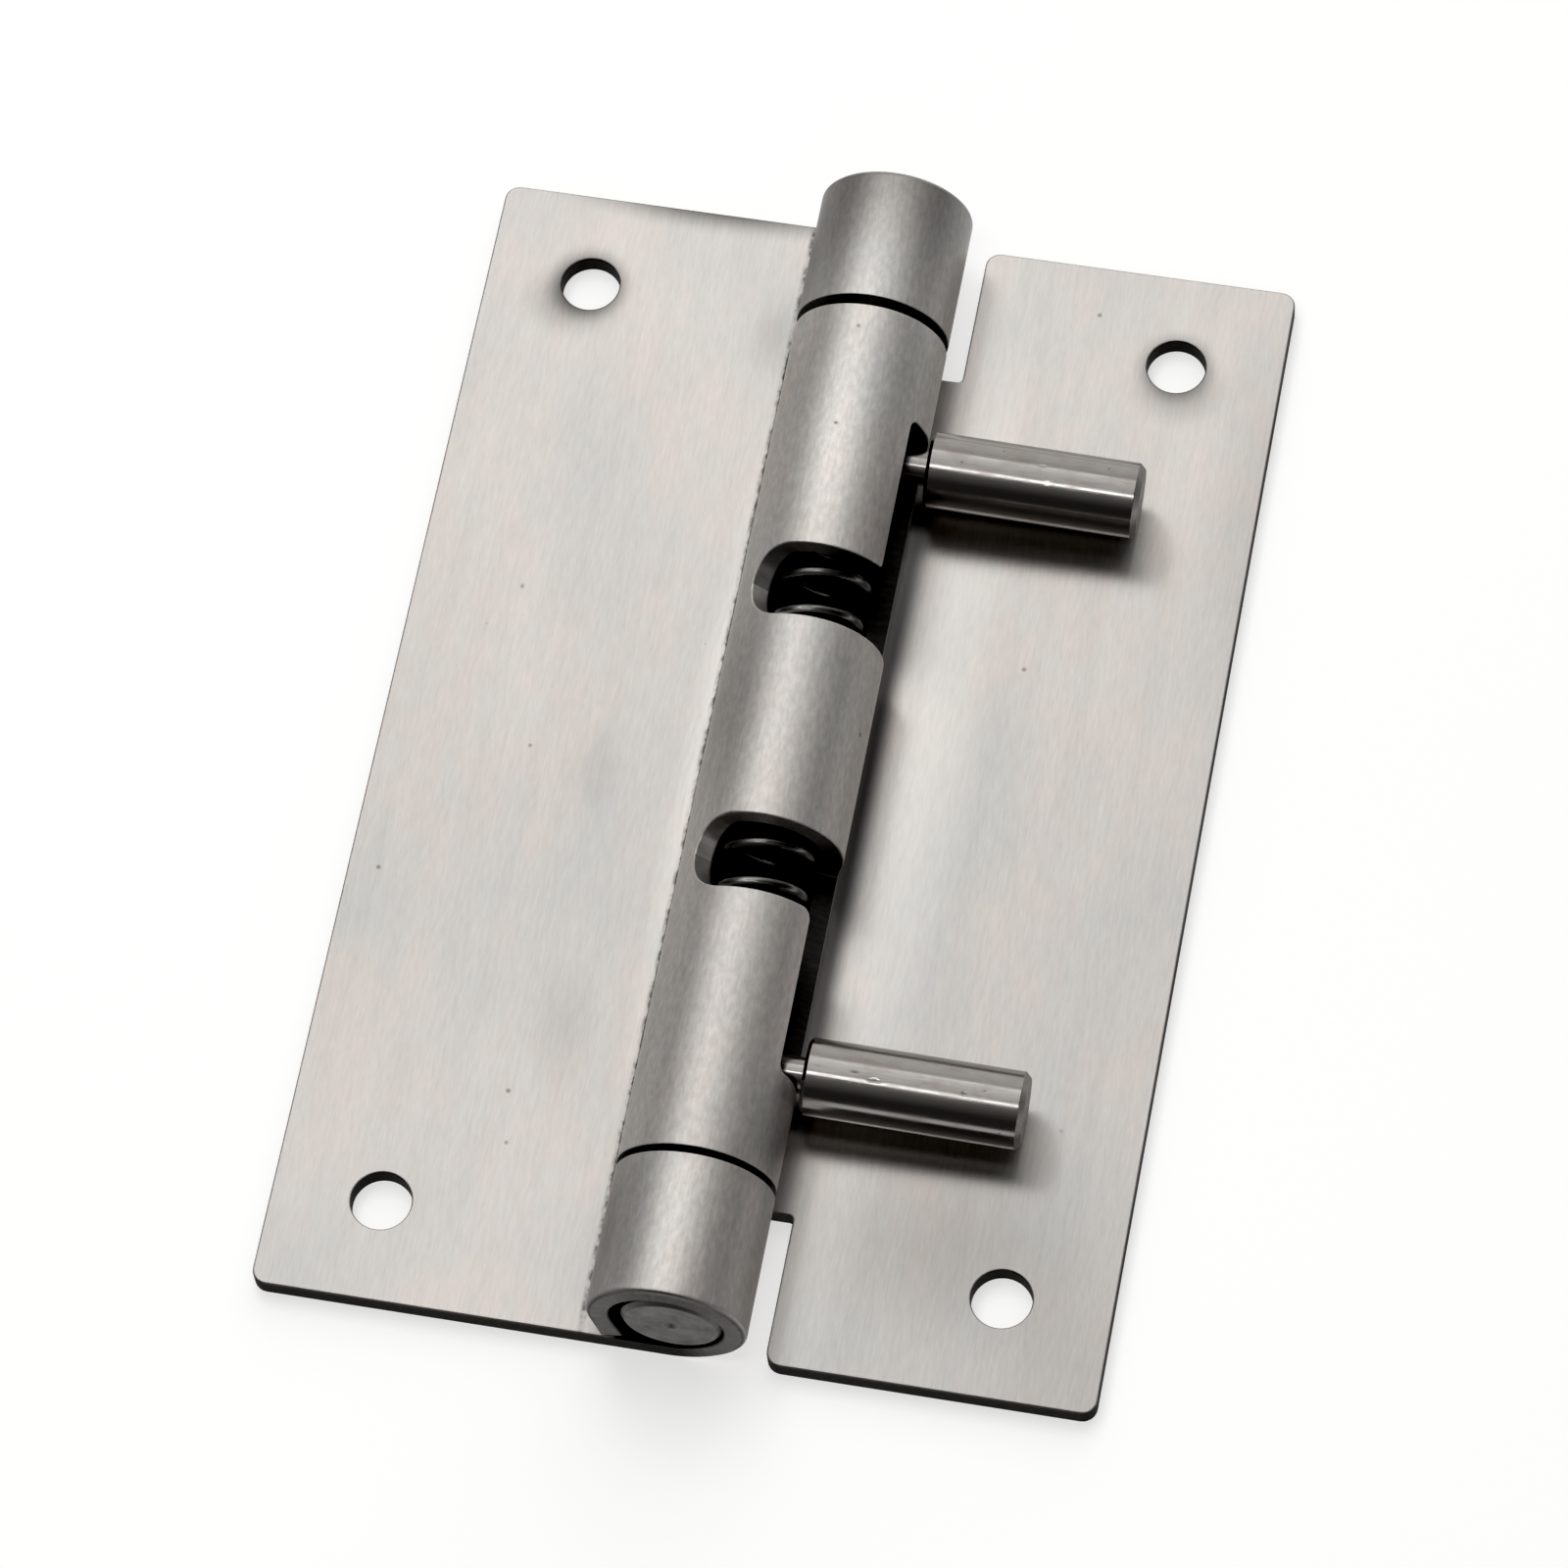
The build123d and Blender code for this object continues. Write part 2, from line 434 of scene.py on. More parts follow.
def show(name: str, mesh: Mesh) -> Object:
    """Put a finished mesh into the scene at the origin and report it.

    Args:
        name: The piece's name.
        mesh: Its mesh.

    Returns:
        The piece.
    """
    mesh.name = name
    piece = bpy.data.objects.new(name, mesh)
    bpy.context.scene.collection.objects.link(piece)
    LOG.info("%s: %d vertices, %d faces", name, len(mesh.vertices), len(mesh.polygons))
    return piece


def roll_tree() -> NodeTree:
    """Tree that rolls a flat blank round the pin axis, with the bend's true radius inside and out.

    Returns:
        The tree, with the sheet's sizes as inputs.
    """
    sizes = ("Barrel Radius", "Bend Length", "Side")
    board, given, output = new_tree("roll_sheet", sizes)
    barrel, bend_length, side = (given.outputs[name] for name in sizes)

    def store(geometry: Socket, name: str, value: Socket) -> Socket:
        """Keep a vector on every point under a name.

        Args:
            geometry: What carries the points.
            name: The name.
            value: The vector.

        Returns:
            The geometry with the vector.
        """
        kind = {"data_type": "FLOAT_VECTOR", "domain": "POINT"}
        inputs = {"Geometry": geometry, "Name": name, "Value": value}
        return board.add("GeometryNodeStoreNamedAttribute", kind, **inputs).outputs[0]

    def named(name: str) -> Socket:
        """Read a vector that every point carries."""
        node = board.add("GeometryNodeInputNamedAttribute", {"data_type": "FLOAT_VECTOR"}, Name=name)
        return node.outputs[0]

    place = board.add("GeometryNodeInputPosition").outputs[0]
    kept = store(given.outputs["Geometry"], "blank", place)
    x, y, depth = board.split(named("blank"))
    run = board.math("MAXIMUM", board.math("MULTIPLY", x, -1.0), 0.0)
    bent = board.math("MINIMUM", run, bend_length)
    tail = board.math("SUBTRACT", run, bent)
    angle = board.math("SUBTRACT", -math.pi / 2, board.math("DIVIDE", bent, barrel))
    cosine = board.math("COSINE", angle)
    sine = board.math("SINE", angle)
    radius = board.math("SUBTRACT", barrel, depth)
    flat = board.math("MAXIMUM", x, 0.0)
    across = board.math("MULTIPLY_ADD", radius, cosine, board.math("MULTIPLY_ADD", tail, sine, flat))
    drop = board.math("MULTIPLY", tail, cosine)
    up = board.math("SUBTRACT", board.math("MULTIPLY_ADD", radius, sine, barrel), drop)
    rolled = board.join(board.math("MULTIPLY", across, side), y, up)
    moved = board.add("GeometryNodeSetPosition", Geometry=kept, Position=rolled).outputs[0]
    nx, ny, nz = board.split(named("flat_normal"))
    out = board.math("ADD", board.math("MULTIPLY", nx, sine), board.math("MULTIPLY", nz, cosine))
    normal_x = board.math("MULTIPLY", board.math("MULTIPLY", out, -1.0), side)
    normal_z = board.math("SUBTRACT", board.math("MULTIPLY", nx, cosine), board.math("MULTIPLY", nz, sine))
    carried = store(moved, "rolled_normal", board.join(normal_x, ny, normal_z))
    mirrored = board.math("LESS_THAN", side, 0.0)
    flipped = board.add("GeometryNodeFlipFaces", Mesh=carried, Selection=mirrored).outputs[0]
    end_tree(board, flipped, given.outputs["Material"], output)
    return board.tree


@dataclass
class Leaf:
    """A leaf of the hinge with its knuckles, punched flat and then rolled."""

    name: str
    side: Side
    section: RolledSection
    width: float
    half_height: float
    end_knuckle: float = 11.8
    corner_radius: float = 1.2
    small_radius: float = 0.3
    hole_diameter: float = 4.8
    hole_inset: float = 8.7
    hole_from_end: float = 8.3

    @property
    def cut_half(self) -> float:
        """Half the length of the fixed leaf's cut-out between its end knuckles."""
        return self.half_height - self.end_knuckle

    def screw_holes(self) -> list[list[RimPoint]]:
        """Outlines of the two screw holes.

        Returns:
            The lower and the upper hole's outline.
        """
        x = self.width - self.hole_inset
        y = self.half_height - self.hole_from_end
        return [round_hole(x, way * y, self.hole_diameter / 2) for way in (-1, 1)]

    def outlines(self) -> list[list[RimPoint]]:
        """Outer outline of the blank and those of its holes."""
        raise NotImplementedError

    def shift(self) -> float:
        """How far the leaf has slid along the pins, in millimetres."""
        return 0.0

    def build(self, tree: NodeTree, material: Material) -> Object:
        """Punch and roll the leaf.

        Args:
            tree: The tree that rolls the sheet.
            material: The leaf's finish.

        Returns:
            The leaf, which stands for its node and rides on its body.
        """
        sheet = PunchedSheet(self.section.sheet)
        blank = sheet.build(self.name, self.outlines(), self.section.strip_lines())
        mesh = run_tree(blank, tree, {
            "Barrel Radius": self.section.barrel_radius * MM,
            "Bend Length": self.section.bend_length * MM,
            "Side": float(self.side.value),
            "Material": material,
        })
        normals = [item.vector.normalized() for item in mesh.attributes["rolled_normal"].data]
        mesh.normals_split_custom_set_from_vertices(normals)
        for name in ("rolled_normal", "flat_normal"):
            mesh.attributes.remove(mesh.attributes[name])
        mesh.transform(Matrix.Translation((0, self.shift() * MM, 0)))
        piece = show(f"{self.name}_sheet", mesh)
        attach(piece, self.name)
        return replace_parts(piece, self.name)


@dataclass
class FixedLeaf(Leaf):
    """Leaf with the two end knuckles."""

    relief_gap: float = 0.7
    edge_wave: float = 0.07
    wave_step: float = 0.22
    wave_seed: int = 11
    rim_radius: float = 0.4
    rim_start: float = -4.0
    free_corner_edge: float = 0.15

    def end_corners(self, way: int) -> list[Corner]:
        """Corners along one end, from the outer corner to the free edge, rounder on the knuckle.

        Args:
            way: 1 for the upper end and -1 for the lower one.

        Returns:
            The corners.
        """
        end = way * self.half_height
        free = -self.section.free_edge
        return [
            Corner(self.width, end, self.corner_radius),
            Corner(0.0, end, 0.0, 0),
            Corner(self.rim_start, end, 0.0, 0, self.rim_radius),
            Corner(-self.section.bend_length, end, 0.0, 0, self.rim_radius),
            Corner(free, end, self.small_radius, back_edge=self.free_corner_edge),
        ]

    def outlines(self) -> list[list[RimPoint]]:
        """Outer outline with its deep cut-out, and the screw holes.

        Returns:
            The outer outline, then the holes'.
        """
        cut = self.cut_half
        relief = self.section.barrel_radius + self.relief_gap
        free = -self.section.free_edge
        small = self.small_radius
        corners = [
            Corner(relief, -cut, small),
            Corner(free, -cut, small),
            *reversed(self.end_corners(-1)),
            *self.end_corners(1),
            Corner(free, cut, small),
            Corner(relief, cut, small),
        ]
        path = rounded_path(corners)
        worn = ragged(path + path[:1], len(path) - 1, self.edge_wave, self.wave_step, self.wave_seed)
        return [worn[:-1], *self.screw_holes()]


@dataclass
class Slot:
    """L-shaped slot of the centre knuckle, drawn on the flat blank.

    The turned leg's round end stays a hair under half the slot's width, so that its two arcs don't share a
    point. The two arcs take different shares of the dark cut colour as painted shade, more on the far arc
    than on the near one.
    """

    section: RolledSection
    end: End
    reach: float
    inner_radius: float
    width: float = 6.4
    bridge: float = 17.8
    centre_angle: float = 6.0
    window_end_angle: float = 110.0
    corner_radius: float = 0.7
    worn_edge: float = 0.15
    round_share: float = 0.998
    # Shares of the dark cut colour on the round end's arcs: painted shade, deeper on the far arc.
    far_arc_shade: float = 0.75
    near_arc_shade: float = 0.38

    def outline(self) -> list[RimPoint]:
        """Outline of the straight leg and the turned leg with its round end.

        Returns:
            The outline's points.
        """
        half = self.width / 2
        way = self.end.value
        middle = self.section.unrolled(self.centre_angle)
        low, high = middle - half, middle + half
        turned = self.section.unrolled(self.window_end_angle) + half
        near, far = self.bridge / 2, self.bridge / 2 + self.width
        corner, rounded = self.corner_radius, half * self.round_share
        corners = [
            Corner(low, near * way, corner, 6, self.worn_edge),
            Corner(low, self.reach * way, corner, 6, self.worn_edge),
            Corner(high, self.reach * way, corner, 6, self.worn_edge),
            Corner(high, far * way, self.inner_radius, 8, self.worn_edge),
            Corner(turned, far * way, rounded, 24, self.worn_edge, self.far_arc_shade),
            Corner(turned, near * way, rounded, 24, self.worn_edge, self.near_arc_shade),
        ]
        if self.end is End.LOWER:
            corners.reverse()
        return rounded_path(corners)


@dataclass
class ReleaseLeaf(Leaf):
    """Leaf with the long centre knuckle and its two slots."""

    knuckle_play: float = 1.4
    drop: float = 0.15
    notch_gap: float = 1.15
    notch_radius: float = 0.4
    slot_margin: float = 8.5
    upper_inner_radius: float = 0.35
    lower_inner_radius: float = 1.0

    def shift(self) -> float:
        """The leaf has sunk within its end play."""
        return -self.drop

    def outlines(self) -> list[list[RimPoint]]:
        """Outer outline with its notched corners, the slots and the screw holes.

        Returns:
            The outer outline, then those of the slots and the holes.
        """
        edge, top = self.width, self.half_height
        half = self.cut_half - self.knuckle_play / 2
        notch = self.section.barrel_radius + self.notch_gap
        free = -self.section.free_edge
        corners = [
            Corner(free, -half, self.small_radius),
            Corner(notch, -half, self.notch_radius),
            Corner(notch, -top, self.corner_radius),
            Corner(edge, -top, self.corner_radius),
            Corner(edge, top, self.corner_radius),
            Corner(notch, top, self.corner_radius),
            Corner(notch, half, self.notch_radius),
            Corner(free, half, self.small_radius),
        ]
        reach = half - self.slot_margin
        slots = [
            Slot(self.section, End.UPPER, reach, self.upper_inner_radius).outline(),
            Slot(self.section, End.LOWER, reach, self.lower_inner_radius).outline(),
        ]
        return [rounded_path(corners), *slots, *self.screw_holes()]


@dataclass(frozen=True)
class Nick:
    """Small dent in a turned surface, in millimetres and degrees."""

    along: float
    angle: float
    length: float
    width: float
    depth: float


@dataclass
class Handle:
    """Turned side handle with its thin stem, pointing over the release leaf."""

    end: End
    section: RolledSection
    pin_axis: Vector
    stem_y: float
    nicks: tuple[Nick, ...]
    diameter: float = 6.2
    length: float = 17.4
    gap: float = 0.4
    end_chamfer: float = 0.45
    root_chamfer: float = 0.3
    stem_diameter: float = 2.9
    stem_start: float = -2.18
    droop: float = 1.6
    edge_radius: float = 0.06
    deep_nick: float = 0.03
    ring_step: float = 0.12
    segments: int = 160

    @property
    def name(self) -> str:
        """Name of the handle's node."""
        return f"{self.end.name.lower()}_handle"

    @property
    def root(self) -> float:
        """Distance from the pin's axis to the handle's near end."""
        return self.section.barrel_radius + self.gap - self.pin_axis.x

    def profile(self) -> list[tuple[float, float]]:
        """Distance along the axis and radius of each ring, with long runs divided.

        Returns:
            The rings from the tip to the stem's end, in millimetres.
        """
        root = self.root
        tip = root + self.length
        radius, stem = self.diameter / 2, self.stem_diameter / 2
        edge = self.edge_radius
        corners = [
            Corner(tip, 0.0, 0.0),
            Corner(tip, radius - self.end_chamfer, edge),
            Corner(tip - self.end_chamfer, radius, edge),
            Corner(root + self.root_chamfer, radius, edge),
            Corner(root, radius - self.root_chamfer, edge),
            Corner(root, stem, edge),
            Corner(self.stem_start, stem, edge),
            Corner(self.stem_start, 0.0, 0.0),
        ]
        places = [point.place for point in rounded_path(corners, closed=False)]
        rings = [(places[0].x, places[0].y)]
        for place, target in zip(places, places[1:]):
            count = max(1, round((target - place).length / self.ring_step))
            for step in range(1, count + 1):
                spot = place.lerp(target, step / count)
                rings.append((spot.x, spot.y))
        return rings

    def dent(self, along: float, angle: float) -> float:
        """Depth of the nicks at one point of the surface.

        Args:
            along: Distance from the pin's axis, in millimetres.
            angle: Angle round the handle, in radians.

        Returns:
            The depth, in millimetres.
        """
        depth = 0.0
        for nick in self.nicks:
            far = (along - self.root - nick.along) / nick.length
            turn = math.remainder(angle - math.radians(nick.angle), math.tau)
            wide = turn * self.diameter / 2 / nick.width
            depth += nick.depth * math.exp(-2 * (far * far + wide * wide))
        return depth

    def build(self, material: Material) -> Object:
        """Turn the handle.

        Args:
            material: The handle's finish.

        Returns:
            The handle, which stands for its node and rides on its pin's body.
        """
        bm = bmesh.new()
        worn = bm.verts.layers.float.new("nick")
        matt = bm.verts.layers.float.new("end_face")
        rings = self.profile()
        last = len(rings) - 1
        shoulder = self.root + self.length - self.end_chamfer - 1e-4
        thin = self.stem_diameter / 2 + self.edge_radius
        columns: list[list[bmesh.types.BMVert]] = []
        for index, (along, radius) in enumerate(rings):
            if index in (0, last):
                columns.append([bm.verts.new((along, 0.0, 0.0))] * self.segments)
                columns[-1][0][matt] = float(index == 0)
                continue
            row = []
            for step in range(self.segments):
                angle = math.tau * step / self.segments
                dent = self.dent(along, angle) if radius > thin else 0.0
                reach = radius - dent
                vertex = bm.verts.new((along, reach * math.cos(angle), reach * math.sin(angle)))
                vertex[worn] = dent / self.deep_nick
                vertex[matt] = float(along > shoulder)
                row.append(vertex)
            columns.append(row)
        for here, there in zip(columns, columns[1:]):
            for step in range(self.segments):
                after = (step + 1) % self.segments
                loop = (here[step], there[step], there[after], here[after])
                bm.faces.new(tuple(dict.fromkeys(loop)))
        bmesh.ops.recalc_face_normals(bm, faces=bm.faces)
        for face in bm.faces:
            face.smooth = True
        turn = Matrix.Rotation(math.radians(self.droop), 4, "Y")
        place = Matrix.Translation((self.pin_axis.x, self.stem_y, self.pin_axis.z))
        bm.transform(Matrix.Scale(MM, 4) @ place @ turn)
        mesh = bpy.data.meshes.new(self.name)
        bm.to_mesh(mesh)
        bm.free()
        mesh.materials.append(material)
        piece = show(f"{self.name}_turned", mesh)
        weighted = piece.modifiers.new("even_normals", "WEIGHTED_NORMAL")
        weighted.weight = 100
        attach(piece, f"{self.end.name.lower()}_pin")
        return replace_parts(piece, self.name)


def spring_tree() -> NodeTree:
    """Tree that winds half a compression spring along Y, with one closed turn at its outer end.

    Returns:
        The tree, with the spring's sizes as inputs.
    """
    lengths = ("Pitch", "Closed Pitch", "Coil Radius", "Wire Radius", "Start", "Axis Height")
    sizes = ("First Share", "Open Turns", "Start Angle", *lengths)
    board, given, output = new_tree("wind_spring", sizes, ("Points", "Wire Points"))
    value = given.outputs
    line = board.add("GeometryNodeCurvePrimitiveLine").outputs[0]
    path = board.add("GeometryNodeResampleCurve", Curve=line, Count=value["Points"]).outputs[0]
    share = board.add("GeometryNodeSplineParameter").outputs["Factor"]
    share = board.math("MULTIPLY_ADD", share, 0.5, value["First Share"])
    turns = board.math("MULTIPLY", share, board.math("ADD", value["Open Turns"], 2.0))
    opened = board.math("SUBTRACT", turns, 1.0)
    opened = board.math("MINIMUM", board.math("MAXIMUM", opened, 0.0), value["Open Turns"])
    extra = board.math("SUBTRACT", value["Pitch"], value["Closed Pitch"])
    rise = board.math("MULTIPLY_ADD", turns, value["Closed Pitch"], board.math("MULTIPLY", opened, extra))
    angle = board.math("MULTIPLY_ADD", turns, -math.tau, value["Start Angle"])
    x = board.math("MULTIPLY", value["Coil Radius"], board.math("COSINE", angle))
    z = board.math("MULTIPLY_ADD", value["Coil Radius"], board.math("SINE", angle), value["Axis Height"])
    place = board.join(x, board.math("ADD", value["Start"], rise), z)
    helix = board.add("GeometryNodeSetPosition", Geometry=path, Position=place).outputs[0]
    round_wire = {"Resolution": value["Wire Points"], "Radius": value["Wire Radius"]}
    ring = board.add("GeometryNodeCurvePrimitiveCircle", **round_wire).outputs[0]
    wire = board.add("GeometryNodeCurveToMesh", Curve=helix, Profile_Curve=ring, Fill_Caps=True)
    end_tree(board, wire.outputs[0], value["Material"], output)
    return board.tree


@dataclass
class Spring:
    """Compression spring in the centre knuckle, pushing both pins outwards.

    It is wound in two halves that meet at its middle. The travels are the pins' longer slide limits in
    millimetres; nothing here reads them.
    """

    section: RolledSection
    upper_travel: float = 14.7
    lower_travel: float = 15.3
    play: float = 0.3
    wire: float = 1.0
    pitch: float = 3.47
    closed_gap: float = 0.05
    coil_top: float = 0.13
    points_per_turn: int = 72
    wire_points: int = 20

    def build(self, material: Material) -> list[Object]:
        """Wind the spring between the ends of its node's box.

        Args:
            material: The wire's finish.

        Returns:
            The lower and the upper half, which stand for the node and ride on the release leaf.
        """
        low_corner, high_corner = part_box("spring")
        low = low_corner.y / MM + self.wire / 2
        high = high_corner.y / MM - self.wire / 2
        closed = self.wire + self.closed_gap
        open_turns = (high - low - 2 * closed) / self.pitch
        bore = self.section.barrel_radius - self.section.sheet
        values = {
            "Open Turns": open_turns,
            "Pitch": self.pitch * MM,
            "Closed Pitch": closed * MM,
            "Coil Radius": (bore - self.play - self.wire / 2) * MM,
            "Wire Radius": self.wire / 2 * MM,
            "Start Angle": math.pi / 2 + math.tau * (self.coil_top - low - closed) / self.pitch,
            "Start": low * MM,
            "Axis Height": self.section.barrel_radius * MM,
            "Points": int((open_turns + 2) * self.points_per_turn / 2),
            "Wire Points": self.wire_points,
            "Material": material,
        }
        tree = spring_tree()
        halves = []
        for side, first, travel in (("lower", 0.0, self.lower_travel), ("upper", 0.5, self.upper_travel)):
            mesh = bpy.data.meshes.new(f"spring_wire_{side}")
            half = show(f"spring_{side}_half", run_tree(mesh, tree, {"First Share": first, **values}))
            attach(half, "release_leaf")
            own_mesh(half)
            halves.append(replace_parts(half, "spring"))
        return halves


class Finish:
    """A surface's look. Each finish fills a material's tree and returns it."""

    name = "finish"

    def build(self) -> Material:
        """Make the material.

        Returns:
            The material.
        """
        material = bpy.data.materials.new(self.name)
        material.use_nodes = True
        board = NodeBoard(material.node_tree)
        self.paint(board, material.node_tree.nodes["Principled BSDF"])
        return material

    def paint(self, board: NodeBoard, shader: Node) -> None:
        """Fill the tree.

        Args:
            board: The material's board.
            shader: Its shader node.
        """
        raise NotImplementedError


def stretch(board: NodeBoard, place: Socket, per_mm: Triple) -> Socket:
    """Scale coordinates in metres so that a pattern has so many cells a millimetre along each axis."""
    scale = tuple(value / MM for value in per_mm)
    return board.add("ShaderNodeMapping", {"vector_type": "POINT"}, Vector=place, Scale=scale).outputs[0]


def noise(board: NodeBoard, place: Socket, per_mm: Triple, detail: float = 2.0) -> Socket:
    """Noise with its own number of waves a millimetre along X, Y and Z.

    Args:
        board: The material's board.
        place: Coordinates in metres.
        per_mm: Waves a millimetre along each axis.
        detail: The noise's octaves.

    Returns:
        The noise's value, from 0 to 1.
    """
    waves = {"Vector": stretch(board, place, per_mm), "Scale": 1.0, "Detail": detail, "Roughness": 0.55}
    return board.add("ShaderNodeTexNoise", **waves).outputs["Fac"]


def span(board: NodeBoard, value: Socket, start: float, end: float, low: float, high: float) -> Socket:
    """Map a value's range to another and keep it inside.

    Args:
        board: The material's board.
        value: The value.
        start: Where its range starts.
        end: Where its range ends.
        low: The result at the start.
        high: The result at the end.

    Returns:
        The result.
    """
    node = board.add("ShaderNodeMapRange", {"clamp": True}, Value=value)
    for socket, number in zip(list(node.inputs)[1:5], (start, end, low, high)):
        socket.default_value = number
    return node.outputs[0]


def blend(board: NodeBoard, share: Value, first: Value, second: Value, mode: str = "MIX") -> Socket:
    """Mix two colours by a share.

    Args:
        board: The material's board.
        share: The second colour's share.
        first: The first colour.
        second: The second colour.
        mode: How the node blends them.

    Returns:
        The mixed colour.
    """
    node = board.add("ShaderNodeMix", {"data_type": "RGBA", "blend_type": mode})
    for socket, value in zip((node.inputs[0], node.inputs[6], node.inputs[7]), (share, first, second)):
        board.put(socket, value)
    return node.outputs[2]


def shaded(board: NodeBoard, colour: Value, shade: Socket) -> Socket:
    """Darken or brighten a colour by a plain shade."""
    return blend(board, 1.0, colour, board.join(shade, shade, shade), "MULTIPLY")


def dots(board: NodeBoard, place: Socket, per_mm: Triple, size: float, rarity: float) -> Socket:
    """Small scattered dots, 1 inside and 0 outside.

    Args:
        board: The material's board.
        place: Coordinates in metres.
        per_mm: Cells a millimetre along each axis.
        size: A dot's radius as a share of its cell.
        rarity: Share of the cells that stay empty.

    Returns:
        The dots' mask.
    """
    cells = board.add("ShaderNodeTexVoronoi", Vector=stretch(board, place, per_mm), Scale=1.0)
    inside = span(board, cells.outputs["Distance"], size * 0.5, size, 1.0, 0.0)
    chosen = board.math("GREATER_THAN", board.split(cells.outputs["Color"])[0], rarity)
    return board.math("MULTIPLY", inside, chosen)


@dataclass(frozen=True)
class Steel:
    """What all the hinge's steel surfaces share: bare metal with a fine relief."""

    colour: Socket
    roughness: Socket
    height: Socket
    strength: float

    def fill(self, board: NodeBoard, shader: Node) -> None:
        """Set the shader's sockets.

        Args:
            board: The material's board.
            shader: Its shader node.
        """
        relief = {"Height": self.height, "Strength": self.strength, "Distance": RELIEF_DEPTH}
        shader.inputs["Metallic"].default_value = 1.0
        board.put(shader.inputs["Base Color"], self.colour)
        board.put(shader.inputs["Roughness"], self.roughness)
        board.put(shader.inputs["Normal"], board.add("ShaderNodeBump", **relief).outputs[0])


@dataclass(frozen=True)
class PaintedLightAndStain:
    """Soft patch on the flat blank, in millimetres, that darkens it, or brightens it if negative. A few
    are real smudges and spots; most are painted shade and painted light.
    """

    x: float
    y: float
    reach_x: float
    reach_y: float
    strength: float

    def shade(self, board: NodeBoard, place: Socket) -> Socket:
        """How much light the patch leaves at a place.

        Args:
            board: The material's board.
            place: Coordinates in metres, on the flat blank.

        Returns:
            A factor, 1 where the patch has no effect.
        """
        scale = (1 / (self.reach_x * MM), 1 / (self.reach_y * MM), 0.0)
        middle = (-self.x / self.reach_x, -self.y / self.reach_y, 0.0)
        near = board.add("ShaderNodeMapping", Vector=place, Location=middle, Scale=scale).outputs[0]
        away = board.add("ShaderNodeVectorMath", {"operation": "LENGTH"}, Vector=near).outputs["Value"]
        fade = board.add("ShaderNodeMapRange", {"interpolation_type": "SMOOTHSTEP"}, Value=away)
        fade.inputs["To Min"].default_value = 1.0 - self.strength
        fade.inputs["To Max"].default_value = 1.0
        return fade.outputs[0]


